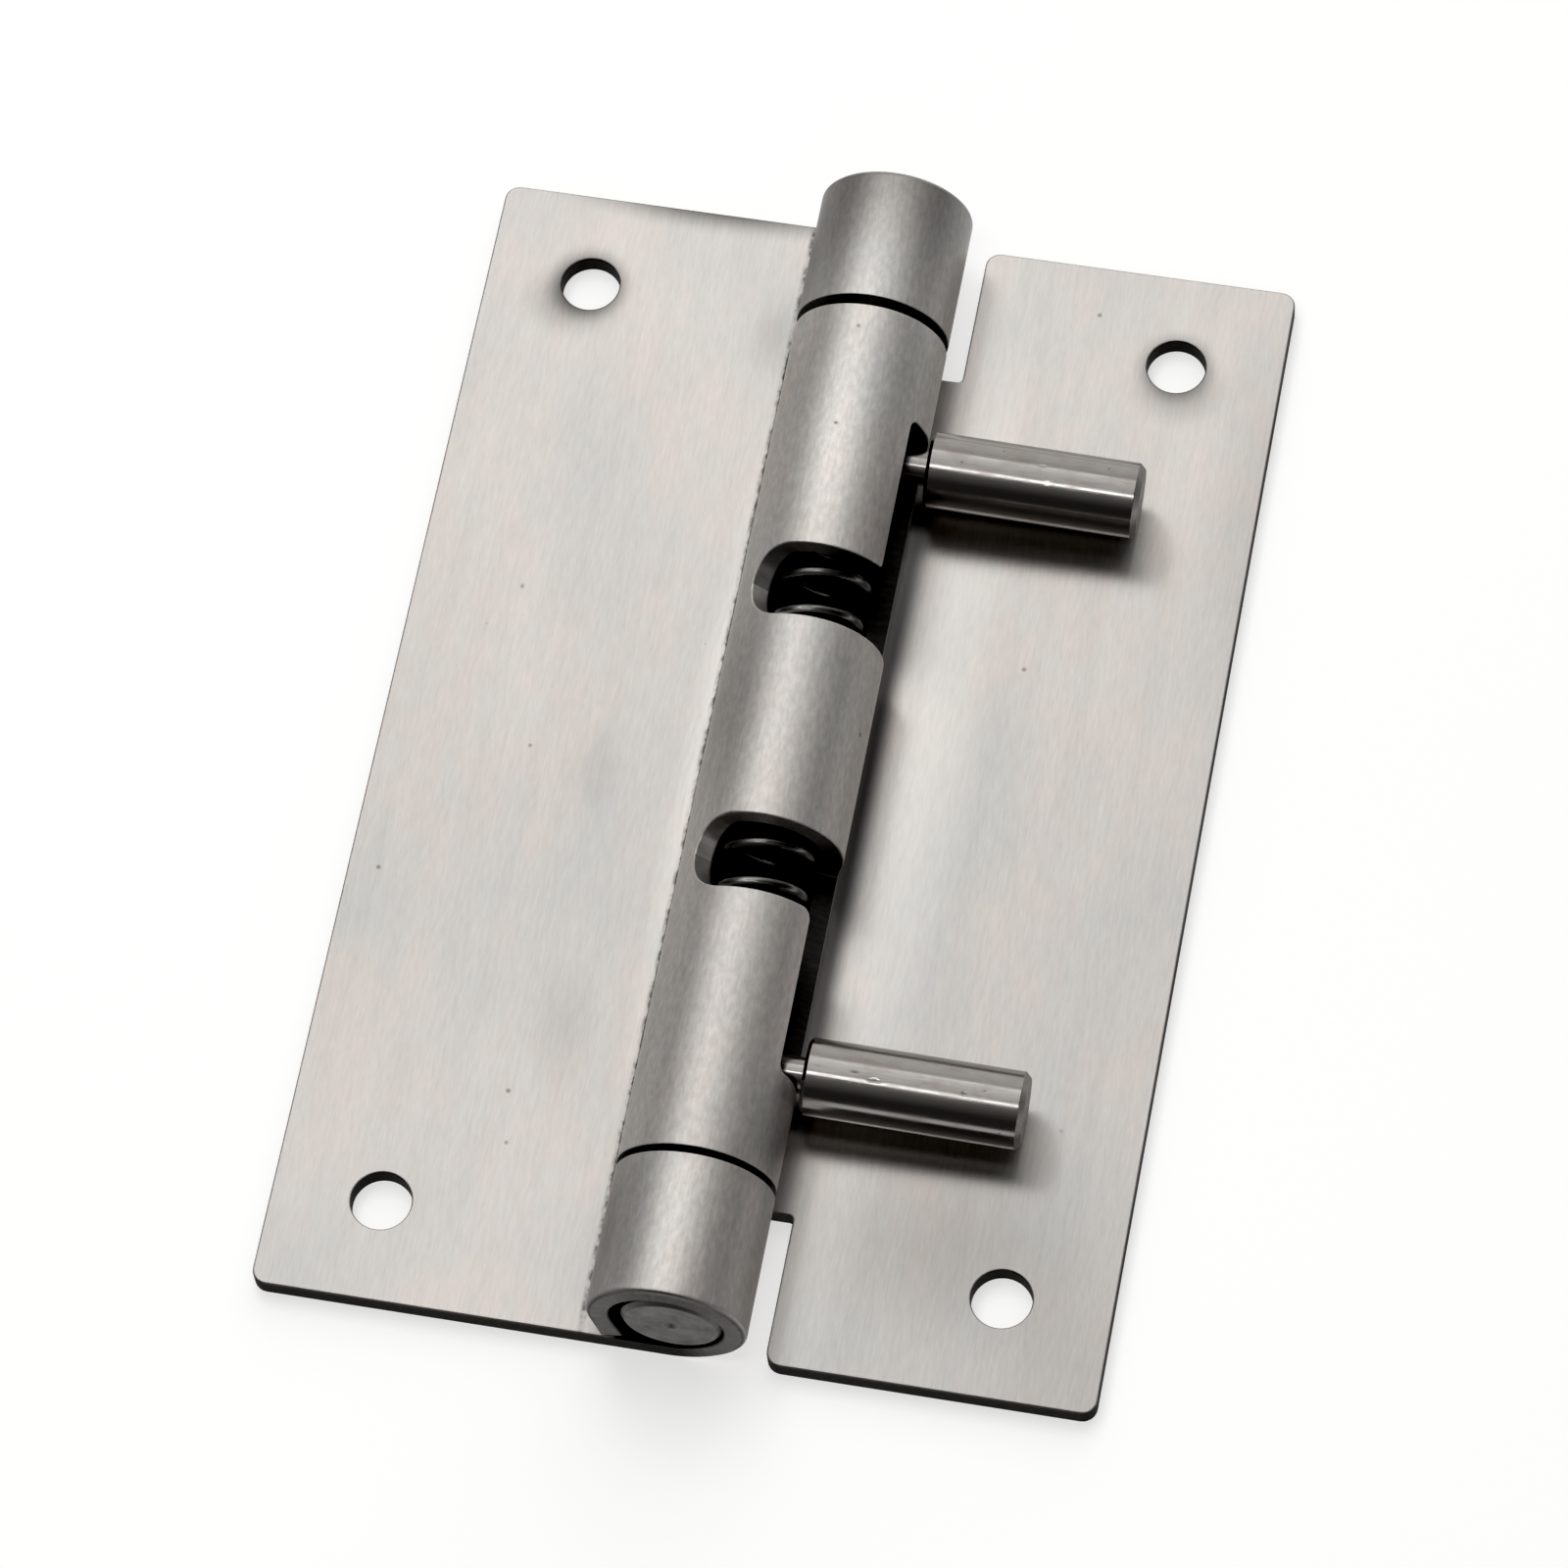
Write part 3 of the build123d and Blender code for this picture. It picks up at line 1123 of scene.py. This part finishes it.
@dataclass(frozen=True)
class BrushedSheet(Finish):
    """Brushed stainless sheet: fine grain along the barrel, faint blotches, pits, bare cut edges with
    painted shade, and soft patches of painted shade and painted light.

    Each pattern has its waves or cells a millimetre along the blank's X, Y and depth.
    """

    name: str = "brushed_sheet"
    steel: Colour = (0.620, 0.595, 0.567, 1.0)
    pink: Colour = (0.643, 0.592, 0.563, 1.0)
    cool: Colour = (0.592, 0.589, 0.569, 1.0)
    pit: Colour = (0.20, 0.18, 0.16, 1.0)
    # The cut colours are near black: the sheared edges' darker steel with painted shade over it.
    cut: Colour = (0.012, 0.011, 0.010, 1.0)
    rolled_cut_and_shade: Colour = (0.035, 0.034, 0.032, 1.0)
    # Near black on the curl's inner face: painted shade inside the bore, over the face's darker steel.
    inside: Colour = (0.012, 0.011, 0.010, 1.0)
    inside_depth: float = 1.5
    anisotropy: float = 0.93
    roughness: tuple[float, float] = (0.33, 0.39)
    offset: Triple = (0.0, 0.0, 0.0)
    seam: float = 0.0
    seam_width: tuple[float, float] = (0.05, 0.38)
    # soft patches: a few real smudges and spots, most painted shade and painted light
    stains: tuple[PaintedLightAndStain, ...] = ()
    fine_waves: Triple = (3.4, 0.45, 0.6)
    hair_waves: Triple = (11.0, 0.9, 1.0)
    broad_waves: Triple = (0.9, 0.06, 0.3)
    cloud_waves: Triple = (0.10, 0.055, 0.1)
    tint_waves: Triple = (0.42, 0.20, 0.2)
    fleck_waves: Triple = (2.4, 1.1, 1.1)
    streak_waves: Triple = (2.6, 2.6, 0.9)
    crumb_waves: Triple = (2.0, 1.3, 1.0)
    pit_cells: Triple = (0.22, 0.22, 0.22)
    relief: float = 0.05

    def tint(self, board: NodeBoard, place: Socket, cloud: Socket) -> Socket:
        """Steel with broad patches of a warmer and a cooler tone.

        Args:
            board: The material's board.
            place: Coordinates in metres, on the flat blank.
            cloud: The noise of the cooler patches.

        Returns:
            The colour.
        """
        patches = noise(board, place, self.tint_waves)
        colour = blend(board, span(board, patches, 0.40, 0.66, 0.0, 1.0), self.steel, self.pink)
        return blend(board, span(board, cloud, 0.46, 0.66, 0.0, 0.8), colour, self.cool)

    def seam_line(self, board: NodeBoard, place: Socket, x: Socket) -> Socket:
        """Light that a broken line of grime beside the barrel leaves.

        Args:
            board: The material's board.
            place: Coordinates in metres, on the flat blank.
            x: X on the blank.

        Returns:
            A factor, 1 beside the line.
        """
        aside = board.math("ABSOLUTE", board.math("SUBTRACT", x, self.seam * MM))
        crumbs = span(board, noise(board, place, self.crumb_waves, 3.0), 0.42, 0.62, 0.25, 1.0)
        core, rim = (side * MM for side in self.seam_width)
        line = board.math("MULTIPLY", span(board, aside, core, rim, 0.80, 0.0), crumbs)
        return board.math("SUBTRACT", 1.0, line)

    def cut_edge(self, board: NodeBoard, place: Socket, x: Socket) -> Socket:
        """Streaked colour of the sheared edges, which is another one on the rolled part. Both are darker
        steel with painted shade over it.

        Args:
            board: The material's board.
            place: Coordinates in metres, on the flat blank.
            x: X on the blank.

        Returns:
            The colour.
        """
        on_roll = span(board, x, -4.0 * MM, -1.0 * MM, 1.0, 0.0)
        colour = blend(board, on_roll, self.cut, self.rolled_cut_and_shade)
        streaks = noise(board, place, self.streak_waves)
        return shaded(board, colour, span(board, streaks, *MIDDLE, 0.75, 1.15))

    def paint(self, board: NodeBoard, shader: Node) -> None:
        """Grain, tint, pits, cut edges, painted shade and painted light, all read from the flat blank.

        Args:
            board: The material's board.
            shader: Its shader node.
        """
        blank = board.add("ShaderNodeAttribute", {"attribute_name": "blank"}).outputs["Vector"]
        bare = board.add("ShaderNodeAttribute", {"attribute_name": "cut_metal"}).outputs["Fac"]
        place = board.add("ShaderNodeMapping", Vector=blank, Location=self.offset).outputs[0]
        x, _, depth = board.split(blank)
        fine = noise(board, place, self.fine_waves, 3.0)
        hair = noise(board, place, self.hair_waves)
        broad = noise(board, place, self.broad_waves)
        cloud = noise(board, place, self.cloud_waves, 2.5)
        grain = board.math("ADD", board.math("MULTIPLY", fine, 0.6), board.math("MULTIPLY", hair, 0.4))
        lines = span(board, grain, *MIDDLE, -0.11, 0.11)
        shade = board.math("ADD", lines, span(board, broad, *MIDDLE, 0.95, 1.01))
        fleck = span(board, noise(board, place, self.fleck_waves), 0.35, 0.70, -0.06, 0.13)
        on_roll = span(board, x, -3.0 * MM, 0.0, 1.0, 0.0)
        shade = board.math("MULTIPLY_ADD", fleck, on_roll, shade)
        # Painted shade and painted light from the soft patches, and a few real smudges.
        for soft_patch in self.stains:
            shade = board.math("MULTIPLY", shade, soft_patch.shade(board, blank))
        if self.seam:
            shade = board.math("MULTIPLY", shade, self.seam_line(board, place, x))
        colour = shaded(board, self.tint(board, place, cloud), shade)
        pits = dots(board, place, self.pit_cells, 0.055, 0.62)
        colour = blend(board, board.math("MULTIPLY", pits, 0.75), colour, self.pit)
        # Painted shade inside the bore: the curl's inner face turns near black.
        curled = span(board, x, 4.2 * MM, 5.0 * MM, 1.0, 0.0)
        deep = span(board, depth, self.inside_depth * MM, (self.inside_depth + 0.2) * MM, 0.0, 1.0)
        colour = blend(board, board.math("MULTIPLY", curled, deep), colour, self.inside)
        # Cut edges take the near-black cut colour: darker steel with painted shade over it.
        edge = span(board, bare, 0.35, 0.95, 0.0, 1.0)
        colour = blend(board, edge, colour, self.cut_edge(board, place, x))
        uneven = board.math("ADD", grain, board.math("MULTIPLY", cloud, 0.4))
        rough = span(board, uneven, 0.4, 1.0, *self.roughness)
        rough = board.math("ADD", rough, board.math("MULTIPLY", edge, 0.16))
        height = board.math("SUBTRACT", grain, board.math("MULTIPLY", pits, 0.8))
        Steel(colour, rough, height, self.relief).fill(board, shader)
        shader.inputs["Anisotropic"].default_value = self.anisotropy
        shader.inputs["Anisotropic Rotation"].default_value = 0.25
        board.put(shader.inputs["Tangent"], board.join(0.0, 1.0, 0.0))


@dataclass(frozen=True)
class TurnedPin(Finish):
    """Matt turned steel with rings on the end faces."""

    name: str = "turned_pin"
    steel: Colour = (0.135, 0.131, 0.125, 1.0)
    oiled: Colour = (0.100, 0.096, 0.092, 1.0)
    axis_x: float = 0.0
    axis_z: float = 6.3
    ring_waves: Triple = (7.0, 5.0, 0.0)
    stain_waves: Triple = (0.5, 0.5, 0.5)
    relief: float = 0.15

    def paint(self, board: NodeBoard, shader: Node) -> None:
        """Rings round the pin axis over a slightly oiled, matt ground.

        Args:
            board: The material's board.
            shader: Its shader node.
        """
        place = board.add("ShaderNodeTexCoord").outputs["Object"]
        x, y, z = board.split(place)
        across = board.math("SUBTRACT", x, self.axis_x * MM)
        level = board.math("SUBTRACT", z, self.axis_z * MM)
        square = board.math("MULTIPLY", level, level)
        radius = board.math("SQRT", board.math("MULTIPLY_ADD", across, across, square))
        rings = noise(board, board.join(radius, y, 0.0), self.ring_waves)
        soft_patch = noise(board, place, self.stain_waves, 3.0)
        colour = blend(board, span(board, soft_patch, 0.4, 0.65, 0.0, 1.0), self.steel, self.oiled)
        colour = shaded(board, colour, span(board, rings, *MIDDLE, 0.88, 1.12))
        rough = span(board, soft_patch, *MIDDLE, 0.42, 0.58)
        Steel(colour, rough, rings, self.relief).fill(board, shader)


@dataclass(frozen=True)
class PolishedHandle(Finish):
    """Polished bar with faint drawing lines, small scratches and grime."""

    name: str = "polished_handle"
    steel: Colour = (0.28, 0.269, 0.255, 1.0)
    warm: Colour = (0.25, 0.226, 0.212, 1.0)
    grime: Colour = (0.09, 0.08, 0.075, 1.0)
    line_waves: Triple = (0.22, 14.0, 14.0)
    stain_waves: Triple = (0.45, 0.8, 0.8)
    speck_cells: Triple = (0.7, 1.4, 1.4)
    relief: float = 0.08

    def paint(self, board: NodeBoard, shader: Node) -> None:
        """Lines along the bar, warm stains, dark specks and nicks, and a matt end.

        Args:
            board: The material's board.
            shader: Its shader node.
        """
        place = board.add("ShaderNodeTexCoord").outputs["Object"]
        nick = board.add("ShaderNodeAttribute", {"attribute_name": "nick"}).outputs["Fac"]
        end_face = board.add("ShaderNodeAttribute", {"attribute_name": "end_face"}).outputs["Fac"]
        lines = noise(board, place, self.line_waves)
        soft_patch = noise(board, place, self.stain_waves, 3.0)
        specks = dots(board, place, self.speck_cells, 0.10, 0.72)
        colour = blend(board, span(board, soft_patch, 0.45, 0.7, 0.0, 1.0), self.steel, self.warm)
        colour = shaded(board, colour, span(board, lines, *MIDDLE, 0.90, 1.06))
        # Darker in the nicks; the specks are dark grime.
        darker_in_nicks = span(board, nick, 0.3, 1.2, 0.0, 0.85)
        dark = board.math("MAXIMUM", board.math("MULTIPLY", specks, 0.8), darker_in_nicks)
        colour = blend(board, dark, colour, self.grime)
        worn = span(board, soft_patch, 0.35, 0.7, 0.13, 0.22)
        worn = board.math("MULTIPLY_ADD", specks, 0.3, worn)
        worn = board.math("MULTIPLY_ADD", end_face, 0.25, worn)
        height = board.math("SUBTRACT", lines, board.math("MULTIPLY", specks, 0.6))
        Steel(colour, worn, height, self.relief).fill(board, shader)


@dataclass(frozen=True)
class SpringWire(Finish):
    """Dark drawn wire with a film of oil."""

    name: str = "spring_wire"
    steel: Colour = (0.20, 0.196, 0.191, 1.0)
    dark: Colour = (0.13, 0.126, 0.12, 1.0)
    patch_waves: Triple = (0.9, 0.9, 0.9)
    scale_waves: Triple = (6.0, 6.0, 6.0)
    relief: float = 0.08

    def paint(self, board: NodeBoard, shader: Node) -> None:
        """Dark patches on bright wire.

        Args:
            board: The material's board.
            shader: Its shader node.
        """
        place = board.add("ShaderNodeTexCoord").outputs["Object"]
        patches = noise(board, place, self.patch_waves, 3.0)
        colour = blend(board, span(board, patches, 0.4, 0.62, 0.0, 1.0), self.steel, self.dark)
        rough = span(board, patches, *MIDDLE, 0.20, 0.30)
        scale = noise(board, place, self.scale_waves)
        Steel(colour, rough, scale, self.relief).fill(board, shader)


@dataclass(frozen=True)
class PaleFloor(Finish):
    """Pale floor that glows, with a pool of painted light round the hinge."""

    name: str = "pale_floor"
    white: Colour = (0.86, 0.86, 0.855, 1.0)
    glow: float = 0.66
    far_glow: float = 0.20
    glow_reach: tuple[float, float] = (0.11, 0.28)

    def paint(self, board: NodeBoard, shader: Node) -> None:
        """One pale, matt tone with a very faint unevenness, and a glow of painted light that is brightest
        round the hinge and fades far out.

        Args:
            board: The material's board.
            shader: Its shader node.
        """
        place = board.add("ShaderNodeTexCoord").outputs["Object"]
        away = board.add("ShaderNodeVectorMath", {"operation": "LENGTH"}, Vector=place).outputs["Value"]
        cloud = noise(board, place, (0.01, 0.01, 0.01), 1.0)
        shade = span(board, cloud, *MIDDLE, 0.985, 1.0)
        board.put(shader.inputs["Base Color"], shaded(board, self.white, shade))
        shader.inputs["Roughness"].default_value = 0.9
        shader.inputs["Specular IOR Level"].default_value = 0.1
        shader.inputs["Emission Color"].default_value = self.white
        # Painted light: the floor glows most near the hinge and less far out.
        glow = span(board, away, *self.glow_reach, self.glow, self.far_glow)
        board.put(shader.inputs["Emission Strength"], glow)


@dataclass(frozen=True)
class Softbox:
    """Rectangular studio light that faces the hinge.

    It hangs straight above, swung back by one angle and then to the right by another.
    """

    name: str
    back: float
    right: float
    distance: float
    width: float
    depth: float
    radiance: float

    def build(self) -> Object:
        """Hang the light.

        Returns:
            The lamp.
        """
        data = bpy.data.lights.new(self.name, "AREA")
        data.shape = "RECTANGLE"
        data.size, data.size_y = self.width, self.depth
        data.energy = self.radiance * math.pi * self.width * self.depth
        lamp = bpy.data.objects.new(self.name, data)
        aside = Matrix.Rotation(math.radians(self.right), 4, "Y")
        tilt = Matrix.Rotation(math.radians(-self.back), 4, "X")
        lamp.matrix_world = aside @ tilt @ Matrix.Translation((0, 0, self.distance))
        lamp.visible_camera = False
        bpy.context.scene.collection.objects.link(lamp)
        return lamp


@dataclass
class Studio:
    """Floor, soft lights, surroundings and camera."""

    floor_side: float = 6.0
    floor_drop: float = 0.00002
    lens: float = 166.36
    sensor: float = 36.0
    camera_place: Triple = (0.072169, -0.247598, 0.520500)
    camera_aim: Triple = (-0.000448, -0.000234, 0.0)
    camera_roll: float = -6.375
    black_level: float = 0.005
    softboxes: tuple[Softbox, ...] = (
        Softbox("main_panel", 18.5, -12.0, 0.75, 0.50, 0.52, 1.12),
        Softbox("side_strip", 20.0, -21.5, 0.75, 0.06, 0.52, 2.20),
        Softbox("top_panel", -5.0, -15.5, 0.75, 0.50, 0.14, 1.00),
        Softbox("back_strip", 34.0, -13.0, 0.75, 0.50, 0.03, 0.70),
        Softbox("front_strip", -13.5, -4.0, 0.75, 0.32, 0.08, 5.60),
    )

    def build_floor(self) -> Object:
        """Lay the floor just under the hinge.

        Returns:
            The floor.
        """
        half = self.floor_side / 2
        mesh = bpy.data.meshes.new("floor")
        corners = [(-half, -half), (half, -half), (half, half), (-half, half)]
        mesh.from_pydata([(x, y, -self.floor_drop) for x, y in corners], [], [(0, 1, 2, 3)])
        mesh.materials.append(PaleFloor().build())
        floor = bpy.data.objects.new("floor", mesh)
        bpy.context.scene.collection.objects.link(floor)
        return floor

    def build_surroundings(self) -> None:
        """Make the room, bright straight behind the hinge, faint low in front and dark at the sides."""
        world = bpy.data.worlds.new("studio")
        bpy.context.scene.world = world
        world.use_nodes = True
        board = NodeBoard(world.node_tree)
        way = board.add("ShaderNodeTexCoord").outputs["Generated"]
        x, y, _ = board.split(way)
        background = world.node_tree.nodes["Background"]
        background.inputs["Color"].default_value = (1.0, 0.985, 0.965, 1.0)
        behind = span(board, y, 0.0, 0.9, 0.0, 1.15)
        ahead = span(board, y, -0.85, -0.40, 0.04, 0.28)
        ahead = board.math("MULTIPLY", ahead, span(board, y, -0.30, -0.20, 1.0, 0.0))
        middle = span(board, board.math("ABSOLUTE", x), 0.25, 0.75, 1.0, 0.10)
        glow = board.math("ADD", behind, ahead)
        board.put(background.inputs["Strength"], board.math("MULTIPLY_ADD", glow, middle, 0.004))

    def build_camera(self) -> Object:
        """Set the camera at the photograph's viewing angle.

        Returns:
            The camera.
        """
        data = bpy.data.cameras.new("camera")
        data.lens = self.lens
        data.sensor_width = self.sensor
        data.clip_start, data.clip_end = 0.01, 20.0
        camera = bpy.data.objects.new("camera", data)
        place = Vector(self.camera_place)
        level = (Vector(self.camera_aim) - place).to_track_quat("-Z", "Y")
        camera.location = place
        camera.rotation_mode = "QUATERNION"
        camera.rotation_quaternion = level @ Quaternion((0, 0, 1), math.radians(self.camera_roll))
        bpy.context.scene.collection.objects.link(camera)
        bpy.context.scene.camera = camera
        return camera

    def build(self) -> None:
        """Make the whole studio."""
        self.build_floor()
        self.build_surroundings()
        for softbox in self.softboxes:
            softbox.build()
        self.build_camera()
        view = bpy.context.scene.view_settings
        view.view_transform = "Standard"
        view.use_curve_mapping = True
        view.curve_mapping.black_level = (self.black_level,) * 3
        view.curve_mapping.update()


@dataclass
class Hinge:
    """The whole hinge, built from the frame's sizes."""

    section: RolledSection = field(init=False)
    fixed_painted_light_and_stains: tuple[PaintedLightAndStain, ...] = (
        # Painted shade: a dark halo round the upper screw hole, where the punched sheet dishes.
        PaintedLightAndStain(25.6, 40.0, 5.2, 4.2, 0.50),
        PaintedLightAndStain(24.7, 41.6, 4.1, 4.1, 1.60),
        # Painted shade along the upper edge, where the sheared edge rolls over.
        PaintedLightAndStain(15.0, 50.9, 17.0, 3.2, 0.95),
        PaintedLightAndStain(8.3, 39.2, 3.0, 5.5, 0.16),
        PaintedLightAndStain(13.6, -24.5, 4.0, 8.0, 0.12),
        PaintedLightAndStain(15.2, -2.2, 3.0, 6.0, 0.10),
        # Painted light: a lighter strip beside the barrel.
        PaintedLightAndStain(6.8, -2.0, 2.6, 42.0, -0.32),
        # Painted light towards the leaf's lower end.
        PaintedLightAndStain(20.0, -52.0, 34.0, 50.0, -0.12),
        # Painted shade on the top knuckle's rounded end.
        PaintedLightAndStain(-19.8, 51.5, 18.0, 13.0, 0.50),
        # Painted highlight on the bottom knuckle.
        PaintedLightAndStain(-20.5, -44.0, 5.0, 12.0, -0.15),
        # Painted shade on the end knuckles' flanks.
        PaintedLightAndStain(-27.0, 44.5, 6.5, 14.0, 0.60),
        PaintedLightAndStain(-12.0, 44.5, 6.5, 14.0, 0.40),
        PaintedLightAndStain(-27.0, -44.5, 6.5, 14.0, 0.45),
        PaintedLightAndStain(-12.0, -44.5, 6.5, 14.0, 0.15),
        PaintedLightAndStain(24.49, 13.09, 0.28, 0.36, 0.55),
        PaintedLightAndStain(26.64, 9.29, 0.18, 0.18, 0.30),
        PaintedLightAndStain(8.78, 10.28, 0.18, 0.16, 0.35),
    )
    release_painted_light_and_stains: tuple[PaintedLightAndStain, ...] = (
        # Painted shade: a dark halo round the upper screw hole, where the punched sheet dishes.
        PaintedLightAndStain(25.1, 39.6, 5.0, 4.2, 0.40),
        PaintedLightAndStain(24.55, 41.55, 3.9, 3.9, 1.30),
        # Painted shade on the leaf's right part.
        PaintedLightAndStain(36.0, 30.0, 9.0, 26.0, 0.22),
        # Painted shadow beside the barrel.
        PaintedLightAndStain(6.3, 0.0, 1.9, 75.0, 0.90),
        # Painted shade low on the leaf.
        PaintedLightAndStain(20.0, -38.0, 15.0, 11.0, 0.24),
        PaintedLightAndStain(31.0, -46.0, 11.0, 11.0, 0.12),
        PaintedLightAndStain(26.72, -27.06, 0.28, 0.28, 0.35),
        # Painted light beside the barrel.
        PaintedLightAndStain(10.5, -2.0, 5.0, 60.0, -0.20),
        # Painted highlight on the upper part of the centre knuckle.
        PaintedLightAndStain(-18.5, 25.0, 5.0, 12.0, -0.15),
        # Painted shade on the middle of the centre knuckle.
        PaintedLightAndStain(-14.5, 2.0, 5.0, 14.0, 0.25),
        PaintedLightAndStain(-19.25, 26.35, 0.30, 0.25, 0.75),
    )

    def __post_init__(self) -> None:
        """Read the driving sizes off the frame."""
        fixed_low, fixed_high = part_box("fixed_leaf")
        self.section = RolledSection(barrel_radius=fixed_high.z / MM / 2)
        self.width = -fixed_low.x / MM
        self.half_height = fixed_high.y / MM

    @property
    def pin_axis(self) -> Vector:
        """Place of the pins' shared axis across the barrel, from the upper pin's box."""
        low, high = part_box("upper_pin")
        return (Vector(low) + Vector(high)) / 2 / MM

    def stem_y(self, end: End) -> float:
        """Y of a handle's axis, from its node's box."""
        low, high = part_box(f"{end.name.lower()}_handle")
        return (low.y + high.y) / 2 / MM

    def build_leaves(self) -> None:
        """Punch and roll both leaves."""
        tree = roll_tree()
        fixed = BrushedSheet(
            "brushed_fixed",
            rolled_cut_and_shade=(0.115, 0.111, 0.104, 1.0),
            offset=(0.31, 0.17, 0.0),
            seam=7.1,
            stains=self.fixed_painted_light_and_stains,
        )
        release = BrushedSheet("brushed_release", stains=self.release_painted_light_and_stains)
        sizes = (self.section, self.width, self.half_height)
        FixedLeaf("fixed_leaf", Side.FIXED, *sizes).build(tree, fixed.build())
        ReleaseLeaf("release_leaf", Side.RELEASE, *sizes).build(tree, release.build())

    def build_handles(self) -> None:
        """Turn both handles, each with its own nicks."""
        polished = PolishedHandle().build()
        upper = (Nick(9.9, 111.0, 0.30, 0.22, 0.012), Nick(9.3, 86.0, 0.45, 0.12, 0.02))
        lower = (
            Nick(1.1, 96.0, 0.40, 0.10, 0.03),
            Nick(4.0, 96.0, 0.55, 0.13, 0.05),
            Nick(5.6, 103.0, 0.60, 0.15, 0.05),
            Nick(9.6, 97.0, 0.70, 0.08, 0.02),
            Nick(12.7, 101.0, 0.30, 0.12, 0.04),
            Nick(14.2, 93.0, 0.20, 0.12, 0.04),
            Nick(16.3, 93.0, 0.12, 0.12, 0.008),
        )
        for end, nicks in ((End.UPPER, upper), (End.LOWER, lower)):
            Handle(end, self.section, self.pin_axis, self.stem_y(end), nicks).build(polished)

    def dress_pins(self) -> None:
        """Give both pins their turned finish."""
        turned = TurnedPin(axis_x=self.pin_axis.x, axis_z=self.pin_axis.z).build()
        for end in End:
            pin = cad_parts[f"{end.name.lower()}_pin"]
            for slot in pin.material_slots:
                slot.material = turned
            LOG.info("%s: dressed as %s", pin.name, turned.name)

    def build(self) -> None:
        """Build and dress every piece."""
        self.build_leaves()
        self.build_handles()
        self.dress_pins()
        Spring(self.section).build(SpringWire().build())


def main() -> None:
    """Build the hinge and its studio."""
    logging.basicConfig(level=logging.INFO, format="%(name)s %(message)s")
    Hinge().build()
    Studio().build()


if __name__ == "__main__":
    main()
